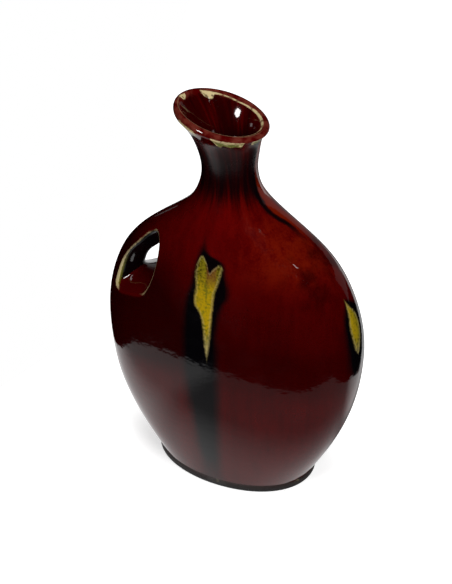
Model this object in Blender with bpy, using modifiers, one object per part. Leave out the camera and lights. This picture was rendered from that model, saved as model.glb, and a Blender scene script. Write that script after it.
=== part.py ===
"""A flattened flask vase in glazed stoneware, with a slanted mouth and a pierced handle.

The outside is one turned form that is squeezed flat. It is sliced where the clay pieces were
luted together: foot ring, floor, front and back halves, neck and mouth. A lining of its own
runs round the handle opening, from the front face to the back face.
"""
import math

import bmesh
import bpy
import numpy as np

# Driving dimensions, in metres
FOOT_WIDTH = 0.1153
FOOT_DEPTH = 0.0788
FOOT_HEIGHT = 0.0062
BELLY_WIDTH = 0.1764
BELLY_DEPTH = 0.0886
SHOULDER_WIDTH = 0.0498
SHOULDER_DEPTH = 0.0474
SHOULDER_HEIGHT = 0.2030
NECK_WIDTH = 0.0339
MOUTH_WIDTH = 0.0590
MOUTH_DEPTH = 0.0572

# Rise from the shoulder to the neck's waist, on to the mouth, and up to the joint between them
THROAT_LENGTH = 0.0230
FLARE_LENGTH = 0.0310
NECK_JOINT_RISE = 0.0070

# How far the hand-made form stands off its middle line, and how much the mouth slants
FOOT_OFFSET = 0.0027
NECK_OFFSET = -0.0036
MOUTH_OFFSET = -0.0096
MOUTH_RISE = 0.0068

# Walls and seats
WALL = 0.0050
FOOT_WALL = 0.0085
FLOOR = 0.0060
LINING_WALL = 0.0035
GAP = 0.0003
OVERRUN = 0.0200

# Rounded edges
LIP_ROUNDING = 0.0023
FOOT_ROUNDING = 0.0012
HANDLE_ROUNDING = 0.0014

# The handle opening on the front face: its middle and its size, as shares of the belly's
# half-width and of the way from foot to shoulder
handle_centre_shares = (-0.645, 0.7724)
handle_size_shares = (0.399, 0.2424)

# The tunnel behind it: how far its waist is shifted, how narrow and how much nearer the front
# face that is, and how far the back end lies outward and down from the front end
HANDLE_WAIST_SHIFT_X = 0.0079
HANDLE_WAIST_SHIFT_Z = 0.0004
handle_waist_shares = (0.66, 0.51)
handle_waist_lead_share = 0.33
HANDLE_DRIFT = -0.0050
HANDLE_DROP = -0.0068

# Stations up the belly: share of the way from foot to shoulder, shares of the belly's half-width
# and half-depth, and how much fuller than an ellipse the section is there
widest_share = 0.452
belly_shares = [
    (0.122, 0.792, 0.954, 0.118),
    (0.274, 0.923, 1.000, 0.168),
    (widest_share, 0.992, 0.964, 0.168),
    (0.604, 0.982, 0.851, 0.168),
    (0.731, 0.894, 0.785, 0.168),
    (0.843, 0.715, 0.738, 0.155),
    (0.934, 0.444, 0.646, 0.118),
]
foot_fullness_share = 0.03
shoulder_fullness_share = 0.05

# Between shoulder and neck, and between neck and mouth: share of the way up, and share of the
# way between the two half-widths
throat_height_share = 0.435
throat_size_share = 0.691
mouth_shares = [(0.387, 0.146), (0.774, 0.536), (1.0, 1.0)]

# Outline of the handle opening, as shares of its half-width and half-height, going round
# anticlockwise from its lowest corner at the outer side
handle_shares = [
    (-0.99, -0.93),
    (-0.76, -1.00),
    (-0.28, -0.92),
    (0.27, -0.81),
    (0.49, -0.66),
    (0.69, -0.37),
    (0.86, 0.00),
    (0.99, 0.46),
    (0.98, 0.84),
    (0.77, 1.00),
    (0.40, 0.86),
    (-0.02, 0.54),
    (-0.46, 0.15),
    (-0.76, -0.27),
    (-0.93, -0.67),
]

# Heights that follow from the rises
NECK_HEIGHT = SHOULDER_HEIGHT + THROAT_LENGTH
NECK_JOINT_HEIGHT = NECK_HEIGHT + NECK_JOINT_RISE
MOUTH_HEIGHT = NECK_HEIGHT + FLARE_LENGTH

# Colours of clay and glaze
BARE_CLAY = (0.11, 0.055, 0.04)
RED_GLAZE = (0.065, 0.004, 0.005)
CREAM_GLAZE = (0.30, 0.24, 0.14)
BROWN_GLAZE = (0.12, 0.03, 0.02)

# How finely the forms are divided
AROUND = 64
RINGS_IN_BELLY = 18
RINGS_IN_NECK = 7
RINGS_IN_MOUTH = 6
POINTS_PER_SPAN = 3
tunnel_shares = (-1.0, -0.64, -0.24, 0.24, 0.64, 1.0)


def smooth_curve(knots, values, at):
    """Values at some places on the cubic spline through the knots, with no bend at its ends."""
    knots, values, at = np.array(knots), np.array(values), np.asarray(at)
    step = np.diff(knots)
    slope = np.diff(values) / step
    system = np.eye(len(knots))
    bend = np.zeros(len(knots))
    for k in range(1, len(knots) - 1):
        system[k, k - 1:k + 2] = step[k - 1], 2 * (step[k - 1] + step[k]), step[k]
        bend[k] = 6 * (slope[k] - slope[k - 1])
    bend = np.linalg.solve(system, bend)
    k = np.clip(np.searchsorted(knots, at) - 1, 0, len(step) - 1)
    done, left = at - knots[k], knots[k + 1] - at
    curve = (bend[k] * left ** 3 + bend[k + 1] * done ** 3) / (6 * step[k])
    curve += (values[k] / step[k] - bend[k] * step[k] / 6) * left
    curve += (values[k + 1] / step[k] - bend[k + 1] * step[k] / 6) * done
    return curve


def between(start, end, share):
    return start + (end - start) * share


def lean_at(height):
    """How far the middle of the form stands off the belly's middle, below the mouth."""
    belly_height = between(FOOT_HEIGHT, SHOULDER_HEIGHT, widest_share)
    heights = (FOOT_HEIGHT, belly_height, NECK_HEIGHT)
    return float(np.interp(height, heights, (FOOT_OFFSET, 0, NECK_OFFSET)))


def stations():
    """Height, offset, half-width, half-depth and fullness at each station of the outside."""
    rows = [(FOOT_HEIGHT, FOOT_OFFSET, FOOT_WIDTH / 2, FOOT_DEPTH / 2, foot_fullness_share)]
    for height_share, width_share, depth_share, fullness in belly_shares:
        height = between(FOOT_HEIGHT, SHOULDER_HEIGHT, height_share)
        half_width, half_depth = BELLY_WIDTH / 2 * width_share, BELLY_DEPTH / 2 * depth_share
        rows.append((height, lean_at(height), half_width, half_depth, fullness))
    rows.append((SHOULDER_HEIGHT, lean_at(SHOULDER_HEIGHT), SHOULDER_WIDTH / 2,
                 SHOULDER_DEPTH / 2, shoulder_fullness_share))
    height = between(SHOULDER_HEIGHT, NECK_HEIGHT, throat_height_share)
    half_width = between(SHOULDER_WIDTH / 2, NECK_WIDTH / 2, throat_size_share)
    half_depth = between(SHOULDER_DEPTH / 2, NECK_WIDTH / 2, throat_size_share)
    rows.append((height, lean_at(height), half_width, half_depth, 0))
    rows.append((NECK_HEIGHT, NECK_OFFSET, NECK_WIDTH / 2, NECK_WIDTH / 2, 0))
    for height_share, size_share in mouth_shares:
        height = between(NECK_HEIGHT, MOUTH_HEIGHT, height_share)
        offset = between(NECK_OFFSET, MOUTH_OFFSET, height_share ** 2)
        half_width = between(NECK_WIDTH / 2, MOUTH_WIDTH / 2, size_share)
        half_depth = between(NECK_WIDTH / 2, MOUTH_DEPTH / 2, size_share)
        rows.append((height, offset, half_width, half_depth, 0))
    return [list(column) for column in zip(*rows)]


STATIONS = stations()


def form_at(height):
    """Offset, half-width, half-depth and fullness of the outside at some height."""
    return [smooth_curve(STATIONS[0], column, height) for column in STATIONS[1:]]


def section(half_width, half_depth, fullness):
    """Points round an oval that is fuller than an ellipse between its axes, anticlockwise."""
    angle = np.arange(AROUND) * 2 * math.pi / AROUND
    c, s = np.cos(angle), np.sin(angle)
    across = half_width * c * (1 + fullness * s * s)
    deep = half_depth * s * (1 + fullness * c * c)
    return across, deep


def ring(height):
    """One ring of the outside. Above the neck the rings tilt up towards the handle side."""
    offset, half_width, half_depth, fullness = form_at(height)
    across, deep = section(half_width, half_depth, fullness)
    climb = max(0, (height - NECK_HEIGHT) / (MOUTH_HEIGHT - NECK_HEIGHT))
    tilt = climb ** 2 * MOUTH_RISE / (MOUTH_WIDTH / 2)
    return [(offset + x, y, height - tilt * x) for x, y in zip(across, deep)]


def half_depth_at(x, z):
    """How far the outside lies in front of the middle plane at each point of that plane."""
    offset, half_width, half_depth, fullness = form_at(z)
    share = np.clip(np.abs(x - offset) / half_width, 0, 1)
    c = share
    for _ in range(8):
        miss = c * (1 + fullness * (1 - c * c)) - share
        c = c - miss / (1 + fullness - 3 * fullness * c * c)
    return half_depth * np.sqrt(np.clip(1 - c * c, 0, 1)) * (1 + fullness * c * c)


def handle_outline():
    """Points round the handle opening in X and Z, and the directions square to its outline."""
    width_share, height_share = handle_size_shares
    half_height = height_share * (SHOULDER_HEIGHT - FOOT_HEIGHT) / 2
    corners = np.array(handle_shares) * (width_share * BELLY_WIDTH / 4, half_height)
    points = []
    for k in range(len(corners)):
        before, start, end, after = (corners[(k + i) % len(corners)] for i in (-1, 0, 1, 2))
        for t in np.arange(POINTS_PER_SPAN) / POINTS_PER_SPAN:
            bend = (2 * start, end - before, 2 * before - 5 * start + 4 * end - after,
                    3 * start - before - 3 * end + after)
            points.append(sum(part * t ** power for power, part in enumerate(bend)) / 2)
    points = np.array(points)
    along = np.roll(points, -1, 0) - np.roll(points, 1, 0)
    along /= np.linalg.norm(along, axis=1)[:, None]
    return points, np.stack([along[:, 1], -along[:, 0]], 1)


def tunnel_row(share, outward, depth=0, reach=None):
    """One row round the handle tunnel, whose waist is narrow and lies nearer the front.

    share runs from -1 at the front opening to 1 at the back one, outward is the distance from
    the opening's edge, and depth is how far an end row lies below the face. reach sets another
    distance from the edge for the row's place along Y.
    """
    points, square = handle_outline()
    waist = 1 - (share + handle_waist_lead_share * (1 - share ** 2)) ** 2
    across_share, height_share = handle_centre_shares
    front = np.array([across_share * BELLY_WIDTH / 2,
                      between(FOOT_HEIGHT, SHOULDER_HEIGHT, height_share)])
    slant = np.array([HANDLE_DRIFT, HANDLE_DROP])
    centre = front + slant * (1 + share) / 2
    shift = np.array([HANDLE_WAIST_SHIFT_X, HANDLE_WAIST_SHIFT_Z]) * waist
    narrowed = points * between(1, np.array(handle_waist_shares), waist)
    flat = centre + shift + narrowed + square * outward
    edge = front + slant * (share > 0) + points + square * (outward if reach is None else reach)
    y = share * (half_depth_at(edge[:, 0], edge[:, 1]) - depth)
    return [(x, y, z) for (x, z), y in zip(flat, y)]


def loft(name, rows, collection, closed=False, capped=False):
    """A mesh object whose skin runs through rows of equally many points."""
    bm = bmesh.new()
    rows = [[bm.verts.new(point) for point in row] for row in rows]
    pairs = list(zip(rows, rows[1:]))
    if closed:
        pairs.append((rows[-1], rows[0]))
    for low, high in pairs:
        for k in range(len(low)):
            after = (k + 1) % len(low)
            bm.faces.new((low[k], low[after], high[after], high[k]))
    if capped:
        bm.faces.new(rows[0][::-1])
        bm.faces.new(rows[-1])
    if closed or capped:
        bmesh.ops.triangulate(bm, faces=bm.faces, quad_method="FIXED")
        bmesh.ops.recalc_face_normals(bm, faces=bm.faces)
    return add_object(name, bm, collection)


def box(name, low, high, collection):
    """A cutter from its lowest to its highest corner."""
    bm = bmesh.new()
    bmesh.ops.create_cube(bm, size=1)
    low, high = np.array(low), np.array(high)
    bmesh.ops.scale(bm, vec=high - low, verts=bm.verts)
    bmesh.ops.translate(bm, vec=(low + high) / 2, verts=bm.verts)
    return add_object(name, bm, collection)


def add_object(name, bm, collection):
    mesh = bpy.data.meshes.new(name)
    bm.to_mesh(mesh)
    bm.free()
    mesh.shade_smooth()
    mesh.set_sharp_from_angle(angle=math.radians(40))
    added = bpy.data.objects.new(name, mesh)
    collection.objects.link(added)
    return added


def as_cutter(cutter):
    cutter.display_type = "WIRE"
    cutter.hide_render = True
    return cutter


def add_boolean(piece, cutter, operation):
    cut = piece.modifiers.new(cutter.name, "BOOLEAN")
    cut.object = cutter
    cut.operation = operation
    cut.solver = "EXACT"


def add_bevel(piece, width, segments):
    bevel = piece.modifiers.new("Rounded edges", "BEVEL")
    bevel.width = width
    bevel.segments = segments
    bevel.limit_method = "ANGLE"
    bevel.angle_limit = math.radians(60)


def ring_heights(low, high, count):
    return [between(low, high, k / count) for k in range(count + 1)]


def wall_piece(name, heights, collection):
    """A stretch of the vase's wall, open at both ends."""
    piece = loft(name, [ring(height) for height in heights], collection)
    wall = piece.modifiers.new("Wall", "SOLIDIFY")
    wall.thickness = WALL
    wall.offset = -1
    wall.use_even_offset = True
    return piece


def make_foot_ring(parts):
    """The oval ring that the vase stands on."""
    outer = section(FOOT_WIDTH / 2, FOOT_DEPTH / 2, foot_fullness_share)
    inner = section(FOOT_WIDTH / 2 - FOOT_WALL, FOOT_DEPTH / 2 - FOOT_WALL, foot_fullness_share)
    rows = []
    for (across, deep), z in ((outer, 0), (outer, FOOT_HEIGHT), (inner, FOOT_HEIGHT), (inner, 0)):
        rows.append([(FOOT_OFFSET + x, y, z) for x, y in zip(across, deep)])
    foot = loft("foot_ring", rows, parts, closed=True)
    add_bevel(foot, FOOT_ROUNDING, segments=2)
    return foot


def make_base_slab(parts):
    """The floor, whose edge carries on the outside of the body."""
    low = FOOT_HEIGHT + GAP
    rows = [ring(height) for height in ring_heights(low, low + FLOOR, 1)]
    return loft("base_slab", rows, parts, capped=True)


def make_half_shell(name, side, parts, cutters, tunnel):
    """One pressed half of the body: side is -1 for the front and 1 for the back."""
    low = FOOT_HEIGHT + GAP + FLOOR + GAP
    heights = ring_heights(FOOT_HEIGHT, SHOULDER_HEIGHT + WALL, RINGS_IN_BELLY)
    shell = wall_piece(name, heights, parts)
    near, far = side * GAP / 2, side * (BELLY_DEPTH / 2 + OVERRUN)
    reach = BELLY_WIDTH / 2 + OVERRUN
    half = box(name + "_half", (-reach, min(near, far), low),
               (reach, max(near, far), SHOULDER_HEIGHT), cutters)
    add_boolean(shell, as_cutter(half), "INTERSECT")
    add_boolean(shell, tunnel, "DIFFERENCE")
    return shell


def make_handle_lining(parts):
    """The wall round the handle opening: along its inside, over the lip, and back outside."""
    rounding = HANDLE_ROUNDING
    corner = rounding * (1 - math.sqrt(0.5))
    rows = [tunnel_row(share, 0, depth=rounding) for share in tunnel_shares]
    rows.append(tunnel_row(1, corner, depth=corner))
    rows.append(tunnel_row(1, rounding))
    rows += [tunnel_row(share, LINING_WALL) for share in tunnel_shares[::-1]]
    rows.append(tunnel_row(-1, rounding))
    rows.append(tunnel_row(-1, corner, depth=corner))
    return loft("handle_lining", rows, parts, closed=True)


def make_tunnel_cutter(cutters):
    """What the halves leave free for the lining, run out past both faces.

    Its rows go from back to front, as on the lining's outside, so that their triangles match.
    """
    outward = LINING_WALL + GAP
    rows = [tunnel_row(share, outward, reach=LINING_WALL) for share in tunnel_shares[::-1]]
    back = [(x, y + OVERRUN, z) for x, y, z in rows[0]]
    front = [(x, y - OVERRUN, z) for x, y, z in rows[-1]]
    return as_cutter(loft("tunnel_cutter", [back] + rows + [front], cutters, capped=True))


def make_neck_collar(parts, cutters):
    """The waisted neck between the body and the mouth."""
    heights = ring_heights(SHOULDER_HEIGHT - WALL, NECK_JOINT_HEIGHT + WALL, RINGS_IN_NECK)
    neck = wall_piece("neck_collar", heights, parts)
    reach = SHOULDER_WIDTH / 2 + OVERRUN
    slice_box = box("neck_slice", (-reach, -reach, SHOULDER_HEIGHT + GAP),
                    (reach, reach, NECK_JOINT_HEIGHT), cutters)
    add_boolean(neck, as_cutter(slice_box), "INTERSECT")
    return neck


def make_mouth_flare(parts, cutters):
    """The slanted mouth with its rounded lip."""
    heights = ring_heights(NECK_JOINT_HEIGHT - WALL, MOUTH_HEIGHT, RINGS_IN_MOUTH)
    mouth = wall_piece("mouth_flare", heights, parts)
    add_bevel(mouth, LIP_ROUNDING, segments=3)
    reach = MOUTH_WIDTH / 2 + OVERRUN
    slice_box = box("mouth_slice", (-reach, -reach, NECK_JOINT_HEIGHT + GAP),
                    (reach, reach, MOUTH_HEIGHT + OVERRUN), cutters)
    add_boolean(mouth, as_cutter(slice_box), "INTERSECT")
    return mouth


def add_material(piece, colour, roughness):
    material = bpy.data.materials.new(piece.name)
    material.use_nodes = True
    shader = material.node_tree.nodes["Principled BSDF"]
    shader.inputs["Base Color"].default_value = (*colour, 1)
    shader.inputs["Roughness"].default_value = roughness
    shader.inputs["Metallic"].default_value = 0
    piece.data.materials.append(material)


def add_collection(name):
    collection = bpy.data.collections.new(name)
    bpy.context.scene.collection.children.link(collection)
    return collection


def main():
    for old in list(bpy.data.objects):
        bpy.data.objects.remove(old, do_unlink=True)
    parts = add_collection("flask_vase")
    cutters = add_collection("cutters")
    tunnel = make_tunnel_cutter(cutters)
    front = make_half_shell("front_shell", -1, parts, cutters, tunnel)
    back = make_half_shell("back_shell", 1, parts, cutters, tunnel)
    add_material(make_foot_ring(parts), BARE_CLAY, 0.55)
    add_material(make_base_slab(parts), RED_GLAZE, 0.20)
    add_material(front, RED_GLAZE, 0.12)
    add_material(back, RED_GLAZE, 0.12)
    add_material(make_handle_lining(parts), CREAM_GLAZE, 0.20)
    add_material(make_neck_collar(parts, cutters), RED_GLAZE, 0.12)
    add_material(make_mouth_flare(parts, cutters), BROWN_GLAZE, 0.18)


main()
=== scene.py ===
import math

import bmesh
import bpy
import numpy as np
from mathutils import Matrix, Vector


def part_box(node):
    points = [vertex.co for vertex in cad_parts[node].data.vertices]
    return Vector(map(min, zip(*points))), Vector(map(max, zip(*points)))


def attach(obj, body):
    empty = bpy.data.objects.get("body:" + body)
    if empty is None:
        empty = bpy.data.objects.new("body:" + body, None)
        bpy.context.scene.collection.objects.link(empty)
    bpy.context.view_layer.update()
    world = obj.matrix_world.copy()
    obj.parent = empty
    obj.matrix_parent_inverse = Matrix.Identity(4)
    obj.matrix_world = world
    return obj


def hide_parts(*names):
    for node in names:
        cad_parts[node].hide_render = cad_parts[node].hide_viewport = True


bl_info = {
    "name": "Glazed Flask Vase",
    "version": (1, 0, 0),
    "blender": (4, 5, 0),
    "location": "View3D > Sidebar > Vase",
    "description": "Builds a squeezed flask vase with run glazes, a slanted mouth and a pierced handle",
    "category": "Add Mesh",
}

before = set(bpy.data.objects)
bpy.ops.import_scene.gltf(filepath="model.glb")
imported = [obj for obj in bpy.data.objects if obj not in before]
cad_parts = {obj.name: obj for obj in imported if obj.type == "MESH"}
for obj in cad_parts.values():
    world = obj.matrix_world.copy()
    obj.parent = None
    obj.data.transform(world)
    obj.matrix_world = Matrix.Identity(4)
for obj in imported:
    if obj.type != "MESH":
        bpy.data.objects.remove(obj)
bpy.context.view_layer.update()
FOOT_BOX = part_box("foot_ring")
SLAB_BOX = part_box("base_slab")
SHELL_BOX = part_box("front_shell")
COLLAR_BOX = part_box("neck_collar")
MOUTH_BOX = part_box("mouth_flare")

# The photograph's size and the camera's focal length, in pixels
PHOTO_WIDTH, PHOTO_HEIGHT = 452, 584
FOCAL_PIXELS = 1011
SENSOR_HEIGHT = 36

# How the camera stood: how far round from the broad face, how far up and how far off, the point
# that it was turned to, and how far to the side of that point the picture's middle lies
CAMERA_ROUND, CAMERA_UP = math.radians(24.1), math.radians(34.4)
CAMERA_DISTANCE = 0.650
CAMERA_TARGET = (0.0026, 0, 0.1362)
CAMERA_SIDESTEP = -0.0079

# What the lamps are turned to
LAMP_TARGET = (0, 0, 0.12)

# The room that the glaze mirrors: its round wall, and the floor and ceiling past it
ROOM_RADIUS = 1.3
ROOM_HALF_WIDTH = 1.4
ROOM_BOTTOM, CLOTH_TOP, ROOM_TOP = -0.02, 0.42, 1.8
STEPS_ALONG_WALL = 30

# The parts of the wall: name, degrees round from the back, lowest and highest, and how light
ROOM_WALLS = (
    ("dark_walls", (45, 315), (ROOM_BOTTOM, ROOM_TOP), 0.0),
    ("dark_upper", (-45, 45), (CLOTH_TOP, ROOM_TOP), 0.0),
    ("cloth", (-5, 45), (ROOM_BOTTOM, CLOTH_TOP), 0.18),
    ("cloth_side", (-45, -5), (ROOM_BOTTOM, CLOTH_TOP), 0.13),
)

# Outline of the white sheet on the table, read from its mirror image in the glaze
TABLE_CORNERS = (
    (-0.60, 1.30), (-0.176, 0.05), (-0.226, -0.153), (-0.205, -0.225), (-0.165, -0.270),
    (-0.124, -0.282), (-0.048, -0.288), (0.007, -0.278), (0.053, -0.255), (0.10, -0.235),
    (0.162, -0.21), (0.213, -0.183), (0.263, -0.125), (0.245, -0.055), (0.193, 0.068),
    (0.139, 0.114), (0.40, 1.30),
)

# Stations up the belly: share of the way from foot to shoulder, shares of the belly's half-width
# and half-depth, and how much fuller than an ellipse the section is there
WIDEST_SHARE = 0.452
BELLY_SHARES = (
    (0.122, 0.792, 0.954, 0.118),
    (0.274, 0.923, 1.000, 0.168),
    (WIDEST_SHARE, 0.992, 0.964, 0.168),
    (0.604, 0.982, 0.851, 0.168),
    (0.731, 0.894, 0.785, 0.168),
    (0.843, 0.715, 0.738, 0.155),
    (0.934, 0.444, 0.646, 0.118),
)
FOOT_FULLNESS_SHARE = 0.03
SHOULDER_FULLNESS_SHARE = 0.05

# Between shoulder and neck, and between neck and mouth: share of the way up, and share of the
# way between the two half-widths
THROAT_HEIGHT_SHARE = 0.435
THROAT_SIZE_SHARE = 0.691
MOUTH_SHARES = ((0.387, 0.146), (0.774, 0.536), (1.0, 1.0))

# Outline of the handle opening, as shares of its half-width and half-height, going round
# anticlockwise from its lowest corner at the outer side
HANDLE_SHARES = (
    (-0.99, -0.93), (-0.76, -1.00), (-0.28, -0.92), (0.27, -0.81), (0.49, -0.66),
    (0.69, -0.37), (0.86, 0.00), (0.99, 0.46), (0.98, 0.84), (0.77, 1.00),
    (0.40, 0.86), (-0.02, 0.54), (-0.46, 0.15), (-0.76, -0.27), (-0.93, -0.67),
)

# The opening's waist inside the tunnel: shares of the opening's width and height, and how far the
# waist lies towards the front
HANDLE_WAIST_SHARES = (0.66, 0.51)
HANDLE_WAIST_LEAD_SHARE = 0.33

# The furthest that a drawn line of the glaze may reach up the vase, and down from its lip
LINE_REACH = 0.25
LIP_REACH = 0.010

# The run down the broad face: its yellow part between two edges and below a forked top, and the
# black part round it, as (height, X) and for the fork (X, height)
YELLOW_LEFT = ((0.1115, -0.0016), (0.118, -0.0033), (0.125, -0.0044), (0.1355, -0.0063),
               (0.1405, -0.0082), (0.1450, -0.0113), (0.158, -0.0108), (0.170, -0.0112),
               (0.176, -0.0098), (0.180, -0.0078))
YELLOW_RIGHT = ((0.1115, -0.0014), (0.1195, -0.0007), (0.1345, -0.0002), (0.144, 0.0003),
                (0.1556, 0.0014), (0.1641, 0.0038), (0.1725, 0.0058), (0.180, 0.0070))
FORK = ((-0.012, 0.170), (-0.0095, 0.1765), (-0.0078, 0.1790), (-0.0055, 0.1770),
        (-0.0038, 0.1735), (-0.0022, 0.1690), (-0.0005, 0.1712), (0.002, 0.1738),
        (0.0043, 0.1755), (0.0062, 0.1735), (0.009, 0.168))
BLACK_LEFT = ((0.0, -0.0060), (0.0236, -0.0060), (0.0340, -0.0075), (0.0597, -0.0105),
              (0.085, -0.0150), (0.111, -0.0182), (0.132, -0.0190), (0.150, -0.0172),
              (0.158, -0.0145), (0.170, -0.0124), (0.180, -0.0098), (0.187, -0.0072))
BLACK_RIGHT = ((0.0, 0.0095), (0.022, 0.0085), (0.052, 0.0085), (0.0823, 0.0083),
               (0.111, 0.0058), (0.1315, 0.0042), (0.149, 0.0072), (0.1546, 0.0106),
               (0.1707, 0.0080), (0.1765, 0.0066), (0.1815, -0.0036), (0.187, -0.0068))

# The run down the narrow right end, as (height, Y)
END_YELLOW_LEFT = ((0.117, -0.0055), (0.121, -0.0080), (0.1245, -0.0086), (0.1365, -0.0094),
                   (0.1445, -0.0072), (0.1486, -0.0064), (0.1520, -0.0056))
END_YELLOW_RIGHT = ((0.117, -0.0052), (0.123, -0.0024), (0.130, 0.0000), (0.137, 0.0010),
                    (0.1440, -0.0004), (0.1486, -0.0036), (0.1520, -0.0054))
END_BLACK_LEFT = ((0.101, -0.0095), (0.106, -0.0132), (0.1215, -0.0150), (0.135, -0.0145),
                  (0.1456, -0.0112), (0.153, -0.0056))
END_BLACK_RIGHT = ((0.101, -0.0085), (0.110, 0.0040), (0.122, 0.0105), (0.137, 0.0125),
                   (0.147, 0.0050), (0.153, -0.0030))

# How much darker than its clear red the body is painted, as painted shade, as (height over LINE_REACH,
# share)
BODY_PAINTED_SHADE = ((0.00, 0.60), (0.20, 0.62), (0.32, 0.60), (0.43, 0.83), (0.52, 0.70),
                 (0.64, 0.42), (0.76, 0.05), (1.00, 0.00))

# The dark line down the right shoulder, as (X, Y)
SHOULDER_LINE = ((0.008, -0.0055), (0.0178, -0.0035), (0.0238, -0.0021), (0.0286, 0.0005),
                 (0.0340, 0.0036), (0.0423, 0.0036), (0.052, 0.0020))

# How far down from the lip the cream outside it ends, and where the cream inside it starts and
# ends, as (degrees round, reach). The cream outside hangs longer than drawn by a factor.
CREAM_OUTSIDE_LENGTHENED = 1.35
CREAM_OUTSIDE = ((-180, 0.0042), (-172, 0.0045), (-165, 0), (-150, 0), (-132, 0), (-124, 0.0040),
                 (-112, 0.0052), (-101, 0.0038), (-96, 0), (-82, 0), (-78, 0.0058), (-72, 0.0080),
                 (-66, 0.0062), (-58, 0.0078), (-50, 0.0066), (-44, 0.0076), (-39, 0.0045),
                 (-36, 0), (-29, 0), (-25, 0.0070), (-14, 0.0072), (-5, 0.0055), (2, 0), (24, 0),
                 (32, 0.0045), (52, 0.0050), (60, 0), (82, 0), (92, 0.0050), (110, 0.0062),
                 (122, 0), (148, 0), (158, 0.0042), (168, 0.0030), (180, 0.0042))
CREAM_INSIDE_TOP = ((-180, 0.0020), (150, 0.0027), (131, 0.0029), (110, 0.0032), (83, 0.0035),
                    (70, 0.0031), (55, 0.0021), (40, 0.0014), (25, 0.0010), (-20, 0.0008))
CREAM_INSIDE = ((-180, 0.0044), (-174, 0.0042), (-168, 0.0010), (-60, 0.0010), (-10, 0.0016),
                (10, 0.0028), (25, 0.0040), (40, 0.0042), (55, 0.0042), (70, 0.0043),
                (83, 0.0045), (95, 0.0042), (110, 0.0038), (122, 0.0042), (131, 0.0066),
                (143, 0.0038), (152, 0.0010), (170, 0.0010), (175, 0.0038), (180, 0.0044))

# How finely the forms are divided
AROUND = 288
STEPS_ROUND_FOOT_EDGE = 4
RINGS_IN_FLOOR = 5
RINGS_IN_BODY = 120
RINGS_IN_NECK = 24
RINGS_IN_MOUTH = 28
STEPS_ROUND_LIP = 12
POINTS_PER_SPAN = 12
ROWS_IN_TUNNEL = 36
ROWS_ROUND_EDGE = 8

# How near to the outside a point counts as lying on it, how far the cut halves reach into the
# wall of the handle opening, how near two points are one, how far the lip keeps below its full
# height, and the bend past which an edge is sharp
ON_OUTSIDE = 2e-5
CUT_REACH = 2e-5
SAME_POINT = 1e-6
LIP_CLEARANCE = 0.00025
SHARPEST_BEND = math.radians(40)

# Rounds in which a point's angle and height are closed in on, and points measured in one go
ANGLE_ROUNDS = 8
HEIGHT_ROUNDS = 20
POINTS_AT_ONCE = 2000

# How far in from the outside the lip's inner edge lies, and how much further in it lies towards
# the handle's side
ARRIS_INWARD = 0.0051
ARRIS_DRIFT = 0.0011

# How far out the streaks round the neck are laid, whatever its width there
SMEAR_RADIUS = 0.03

# What each point of a piece stores about its place, for the glaze
PLACE_MARKS = ("down_lip", "across_lip", "inward", "hole_edge", "upward", "round_x", "round_y")


def length(name, default, description):
    """A size in metres that shows in the panel."""
    return bpy.props.FloatProperty(name=name, default=default, description=description,
                                   unit="LENGTH", precision=4)


class VaseSizes(bpy.types.PropertyGroup):
    """The lengths that set the outside of the vase and its wall."""

    foot_width: length("Foot width", FOOT_BOX[1].x - FOOT_BOX[0].x, "Width of the oval foot")
    foot_depth: length("Foot depth", FOOT_BOX[1].y - FOOT_BOX[0].y, "Depth of the oval foot")
    foot_height: length("Foot height", FOOT_BOX[1].z, "Height of the foot ring")
    foot_wall: length("Foot wall", 0.0085, "Thickness of the foot ring")
    foot_rounding: length("Foot rounding", 0.0012, "Radius along the foot ring's edges")
    belly_width: length("Belly width", 0.17624, "Greatest width of the body")
    belly_depth: length("Belly depth", 0.0885, "Greatest depth of the body")
    shoulder_width: length("Shoulder width", 0.0498, "Width where the neck is joined on")
    shoulder_depth: length("Shoulder depth", 0.0474, "Depth where the neck is joined on")
    shoulder_height: length("Shoulder height", 0.2030, "Height where the neck is joined on")
    neck_width: length("Neck width", 0.0339, "Width of the neck at its waist")
    throat_length: length("Throat length", 0.0230, "Rise from the shoulder to the neck's waist")
    flare_length: length("Flare length", 0.0310, "Rise from the neck's waist to the mouth")
    mouth_width: length("Mouth width", 0.0590, "Width of the flaring mouth")
    mouth_depth: length("Mouth depth", 0.0572, "Depth of the flaring mouth")
    mouth_rise: length("Mouth rise", 0.0068, "How far the mouth's handle side is lifted")
    foot_offset: length("Foot offset", 0.0027, "How far the foot stands off the middle")
    neck_offset: length("Neck offset", -0.0036, "How far the neck stands off the middle")
    mouth_offset: length("Mouth offset", -0.0096, "How far the mouth stands off the middle")
    wall: length("Wall", 0.0050, "Thickness of the thrown and pressed walls")


class HandleSizes(bpy.types.PropertyGroup):
    """The lengths that set the pierced handle opening and the tunnel behind it."""

    width: length("Width", 0.0352, "Width of the opening on the front face")
    height: length("Height", 0.0477, "Height of the opening on the front face")
    centre_x: length("Centre along X", -0.0569, "Middle of the opening on the front face")
    centre_z: length("Centre along Z", 0.1582, "Middle of the opening on the front face")
    waist_shift_x: length("Waist shift along X", 0.0079, "How far the waist stands off")
    waist_shift_z: length("Waist shift along Z", 0.0004, "How far the waist stands off")
    drift: length("Drift", -0.0050, "How far the back opening lies outward of the front one")
    drop: length("Drop", -0.0068, "How far the back opening lies below the front one")
    edge_radius: length("Edge radius", 0.0013, "Rounding of the opening's thin edges")
    sill_radius: length("Sill radius", 0.0042, "Rounding of the opening's lower edge")


def colour(name, default, description):
    """A colour that shows in the panel."""
    return bpy.props.FloatVectorProperty(name=name, default=default, description=description,
                                         subtype="COLOR", size=4, min=0, max=1)


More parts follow.
